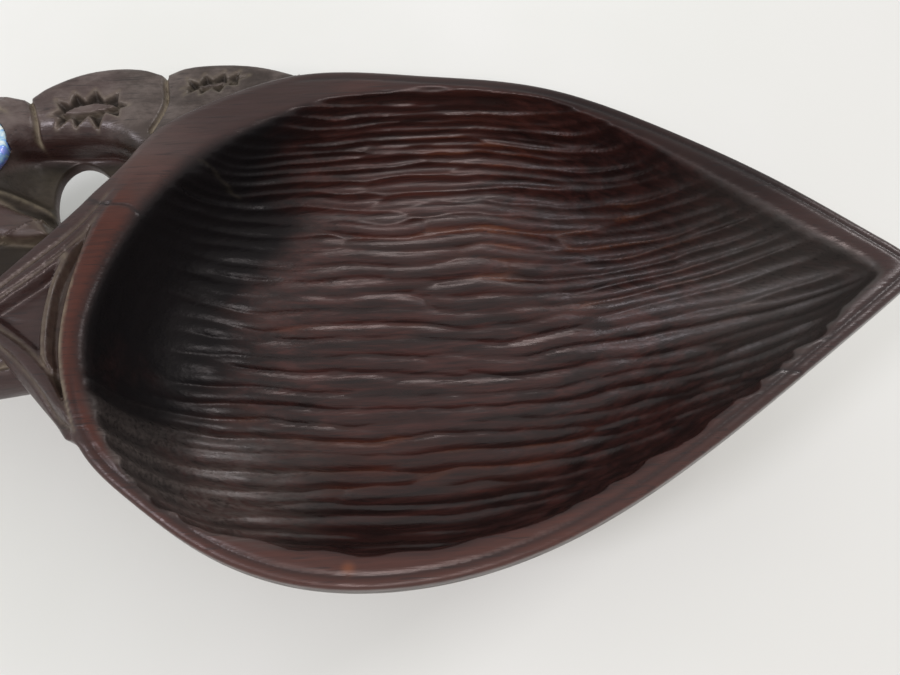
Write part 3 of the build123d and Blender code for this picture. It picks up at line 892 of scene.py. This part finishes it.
def wood_material():
    """Dark reddish hardwood: streaks and pores along X, red patches on the flutes, dust in the cuts."""
    n = Wood()
    dusty = n.times(n.dust, n.span(n.speck, 0.30, 0.65, 0.55, 1.0))
    colour = n.layers(n.mix(n.inside, outer_colour(n), inner_colour(n)),
                      (n.span(n.pores, 0.60, 0.68, 0.0, 0.5), NEAR_BLACK), (dusty, DUST), (n.crack, NEAR_BLACK))
    n.link(colour, n.shader.inputs["Base Color"])
    n.link(wood_roughness(n, dusty), n.shader.inputs["Roughness"])
    n.shader.inputs["Specular Tint"].default_value = SHEEN
    n.link(wood_specular(n), n.shader.inputs["Specular IOR Level"])
    ripple = n.noise(170, 3, (0.35, 1, 1))
    normal = None
    for height, strength, distance in ((n.pores, 0.20, 0.0001), (n.grain, 0.28, 0.00022),
                                       (n.streak, 0.25, 0.0003), (ripple, 0.45, 0.0008)):
        normal = n.bump(height, strength, distance, below=normal)
    n.link(normal, n.shader.inputs["Normal"])
    return n.material


def shell_material():
    """Polished sea shell: pale, blue and lavender bands that change from one end to the other."""
    n = Nodes("iridescent_shell")
    flow = n.noise(120, 4, (1, 1.6, 1), distortion=2.2)
    ramp = n.add("ShaderNodeValToRGB")
    _, y, _ = n.position()
    down = n.span(y, EYE[1] * MM + 0.009, EYE[1] * MM - 0.009, -0.22, 0.16)
    n.link(n.plus(flow, down), ramp.inputs["Fac"])
    stops = ramp.color_ramp.elements
    stops[0].position, stops[0].color = SHELL_BANDS[0]
    stops[1].position, stops[1].color = SHELL_BANDS[-1]
    for place, colour in SHELL_BANDS[1:-1]:
        stops.new(place).color = colour
    n.link(ramp.outputs["Color"], n.shader.inputs["Base Color"])
    grain = n.noise(900, 3)
    n.link(n.span(grain, 0.3, 0.7, 0.12, 0.26), n.shader.inputs["Roughness"])
    n.shader.inputs["Coat Weight"].default_value = 0.5
    n.link(n.bump(flow, 0.3, 0.0003), n.shader.inputs["Normal"])
    return n.material


def pupil_material():
    """Near-black polished wood."""
    n = Nodes("pupil_wood")
    streak = n.noise(900, 4, (0.3, 1, 1))
    n.link(n.mix(n.span(streak, 0.35, 0.65), NEAR_BLACK, INNER_BROWN), n.shader.inputs["Base Color"])
    n.link(n.span(streak, 0.3, 0.7, 0.2, 0.32), n.shader.inputs["Roughness"])
    n.link(n.bump(streak, 0.2, 0.0002), n.shader.inputs["Normal"])
    return n.material


def lathe(name, profile, middle, turns=96):
    """A turned piece: the profile of (radius, height) points, smoothed, once round the middle."""
    angle = np.linspace(0, 2 * math.pi, turns, endpoint=False)
    r, z = np.array(profile, float).T
    points = np.stack([middle[0] + r[:, None] * np.cos(angle), middle[1] + r[:, None] * np.sin(angle),
                       np.repeat(z[:, None], turns, 1)], -1).reshape(-1, 3)
    k = np.arange(turns)
    quads = []
    closed = profile[0][0] > 0
    for i in range(len(profile) - (0 if closed else 1)):
        a, b = i * turns, (i + 1) % len(profile) * turns
        quads.append(np.stack([a + k, b + k, b + (k + 1) % turns, a + (k + 1) % turns], 1))
    return new_mesh(name, points, np.vstack(quads))


def shell_ring():
    """The ring of shell, let into the head; its top is slightly domed."""
    low, top = SHELL_LOW[2], SHELL_HIGH[2]
    inner, outer = PUPIL_RADIUS + PEG_GAP, EYE_RADIUS - SHELL_GAP
    crown = [(outer - 0.25 - (outer - inner - 0.4) * u,
              top + 0.35 * math.sin(math.pi * min(1, 0.12 + u)) - 0.05) for u in np.linspace(0, 1, 15)]
    ring = [(inner, low), (outer, low), (outer, top - 0.3)] + crown + [(inner, top - 0.1)]
    shell = lathe("eye_shell_ring", ring, EYE)
    shell.data.materials.append(shell_material())
    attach(shell, "root")
    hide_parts("eye_shell")


def pupil_peg():
    """The wooden peg in the middle of the ring, with a domed end."""
    radius = PUPIL_RADIUS - PEG_GAP
    low, top = PUPIL_LOW[2], PUPIL_HIGH[2]
    height = 0.9                   # of the dome
    quarter = np.linspace(0, 0.98, 10) * math.pi / 2
    dome = [(radius * math.cos(a), top - height + height * math.sin(a)) for a in quarter]
    pupil = lathe("eye_pupil_peg", [(0.0, low), (radius, low)] + dome + [(0.0, top)], EYE)
    pupil.data.materials.append(pupil_material())
    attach(pupil, "root")
    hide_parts("eye_pupil")


def wooden_body():
    """The carved wood, with the marks that its material reads."""
    points, quads, marks = carve_body()
    body = new_mesh("carved_wood_body", points, quads)
    for name, values in marks.items():
        data = body.data.attributes.new(name, "FLOAT", "POINT").data
        data.foreach_set("value", values.astype(np.float32))
    body.data.materials.append(wood_material())
    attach(body, "root")
    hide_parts("carved_body")


# ---- floor, light and camera ----
def build_floor():
    """A pale plain floor, a little darker towards +X -Y."""
    mesh = bpy.data.meshes.new("floor")
    corners = [(sx * FLOOR_HALF, sy * FLOOR_HALF, 0) for sx, sy in ((-1, -1), (1, -1), (1, 1), (-1, 1))]
    mesh.from_pydata(corners, [], [(0, 1, 2, 3)])
    floor = bpy.data.objects.new("floor", mesh)
    bpy.context.scene.collection.objects.link(floor)
    n = Nodes("pale_floor")
    cloud = n.noise(14, 3)
    x, y, _ = n.position()
    pale = n.mix(n.span(cloud, 0.3, 0.7), FLOOR_PALE, FLOOR_PALER)
    shade = n.span(n.minus(x, n.times(y, 0.4)), -0.04, 0.16)
    n.link(n.mix(shade, pale, FLOOR_SHADE), n.shader.inputs["Base Color"])
    n.shader.inputs["Roughness"].default_value = 0.6
    mesh.materials.append(n.material)


def area_light(name, place, target, size, power, colour):
    data = bpy.data.lights.new(name, "AREA")
    data.shape = "RECTANGLE"
    data.size, data.size_y = size
    data.energy = power
    data.color = colour
    light = bpy.data.objects.new(name, data)
    light.location = place
    light.rotation_euler = (Vector(target) - Vector(place)).to_track_quat("-Z", "Y").to_euler()
    bpy.context.scene.collection.objects.link(light)


def build_light():
    """An even pale room with soft lamps: a window on the +X +Y side, a smaller one on the -X side,
    and a lamp over the -Y side."""
    world = bpy.data.worlds.new("studio")
    bpy.context.scene.world = world
    world.use_nodes = True
    background = world.node_tree.nodes["Background"]
    background.inputs["Color"].default_value = ROOM_COLOUR
    background.inputs["Strength"].default_value = ROOM_STRENGTH
    for lamp in LAMPS:
        area_light(*lamp)
    bpy.context.scene.view_settings.view_transform = "Standard"


def build_camera():
    """The photograph's camera: close above the near side of the bowl, and looking down into it."""
    camera_data = bpy.data.cameras.new("camera")
    camera_data.sensor_width = CAMERA_SENSOR
    camera_data.lens = CAMERA_LENS
    camera_data.clip_start = 0.01
    camera = bpy.data.objects.new("camera", camera_data)
    camera.matrix_world = Matrix.Translation(CAMERA_PLACE) @ Matrix.Rotation(-CAMERA_HEADING, 4, "Z") \
        @ Matrix.Rotation(CAMERA_TILT, 4, "X")
    bpy.context.scene.collection.objects.link(camera)
    bpy.context.scene.camera = camera


wooden_body()
shell_ring()
pupil_peg()
build_floor()
build_light()
build_camera()
